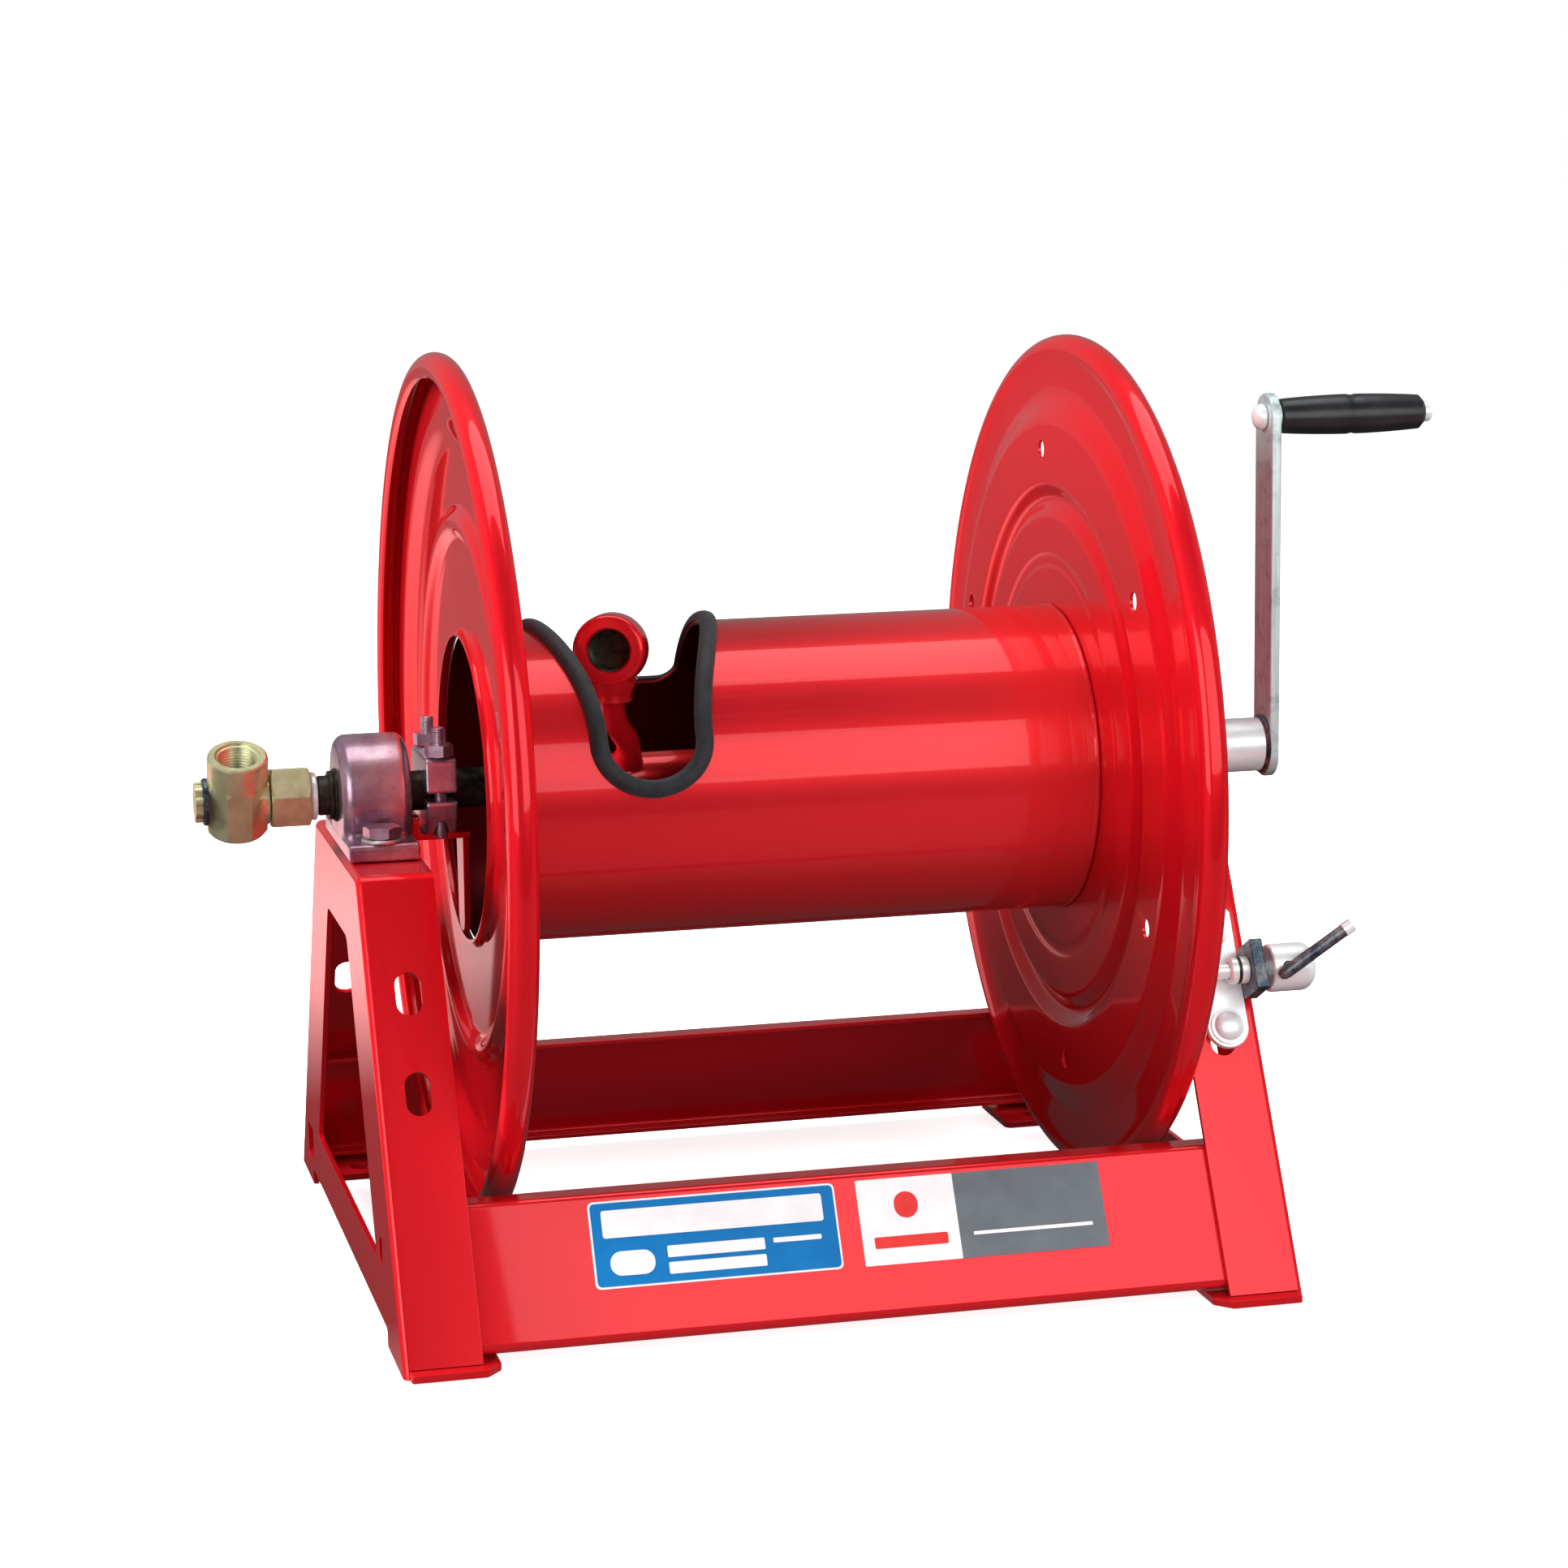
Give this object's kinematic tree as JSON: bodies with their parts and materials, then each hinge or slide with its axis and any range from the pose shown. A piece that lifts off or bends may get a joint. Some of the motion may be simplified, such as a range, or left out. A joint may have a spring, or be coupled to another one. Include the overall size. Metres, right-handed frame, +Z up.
{
  "type": "fire hose reel",
  "caption": "Hand-cranked fire hose reel: ribbed discs on an open drum between two slanted side frames, inlet swivel, crank grip and spring pin lock.",
  "frame": {"origin": "centre of the floor footprint of the whole object, on the floor", "axes": "+X along the reel axis towards the crank, +Y to the rear, +Z up"},
  "size_m": [0.6088, 0.4062, 0.4271],
  "materials": {
    "red_paint": "glossy powder coat",
    "zinc": "bright zinc plating",
    "dark_steel": "dark passivated",
    "cast_grey": "smooth die casting",
    "brass": "machined",
    "black_pipe": "black oxide",
    "black_polymer": "moulded",
    "rubber": "extruded",
    "grip_plastic": "moulded",
    "blue_label": "printed film",
    "white_label": "printed film"
  },
  "bodies": {
    "frame": {"side_frame_left": "red_paint", "side_frame_right": "red_paint", "foot_pad_front_left": "red_paint", "foot_pad_front_right": "red_paint", "foot_pad_rear_left": "red_paint", "foot_pad_rear_right": "red_paint", "cross_channel_front": "red_paint", "cross_channel_rear": "red_paint", "label_panel_left": "blue_label", "label_panel_right": "white_label", "bearing_block_left": "cast_grey", "bearing_block_right": "cast_grey", "bearing_bush_left": "black_polymer", "bearing_bush_right": "black_polymer", "bearing_bolt_front_left": "zinc", "bearing_bolt_rear_left": "zinc", "bearing_bolt_front_right": "zinc", "bearing_bolt_rear_right": "zinc", "bearing_nut_front_left": "zinc", "bearing_nut_rear_left": "zinc", "bearing_nut_front_right": "zinc", "bearing_nut_rear_right": "zinc", "lock_strap": "zinc", "lock_bolt_lower": "zinc", "lock_bolt_upper": "zinc", "lock_nut_lower": "zinc", "lock_nut_upper": "zinc", "lock_guide_block": "dark_steel", "lock_nose": "zinc"},
    "reel": {"drum": "red_paint", "cutout_trim": "rubber", "disc_left": "red_paint", "disc_right": "red_paint", "hub_bracket": "red_paint", "clamp_upper": "cast_grey", "clamp_lower": "cast_grey", "clamp_stud_front": "zinc", "clamp_stud_rear": "zinc", "clamp_nut_front": "zinc", "clamp_nut_rear": "zinc", "axle": "red_paint", "inlet_nipple": "black_pipe", "riser_pipe": "red_paint", "hose_outlet": "red_paint", "crank_sleeve": "zinc", "crank_arm": "zinc", "spindle_cap_nut": "zinc", "grip_spindle": "zinc", "swivel_ring": "zinc", "swivel_nut": "brass"},
    "grip": {"crank_grip": "grip_plastic"},
    "swivel": {"swivel_elbow": "brass", "swivel_plug": "brass", "swivel_plug_flange": "dark_steel"},
    "pin": {"lock_pin": "zinc"},
    "pin_knob": {"lock_knob": "zinc", "lock_cross_bar": "dark_steel"}
  },
  "joints": [
    {"name": "reel_spin", "type": "hinge", "parent": "frame", "child": "reel", "pos_m": [-0.0351, 0, 0.224], "axis": [1, 0, 0], "continuous": true},
    {"name": "grip_spin", "type": "hinge", "parent": "reel", "child": "grip", "pos_m": [0.2629, 0, 0.385], "axis": [1, 0, 0], "continuous": true},
    {"name": "swivel_turn", "type": "hinge", "parent": "frame", "child": "swivel", "pos_m": [-0.2847, 0, 0.224], "axis": [1, 0, 0], "continuous": true},
    {"name": "lock_slide", "type": "slide", "parent": "frame", "child": "pin", "axis": [1, 0, 0], "range_m": [-0.0034, 0.012]},
    {"name": "knob_turn", "type": "hinge", "parent": "pin", "child": "pin_knob", "pos_m": [0.1799, -0.1225, 0.14006], "axis": [1, 0, 0], "continuous": true}
  ]
}
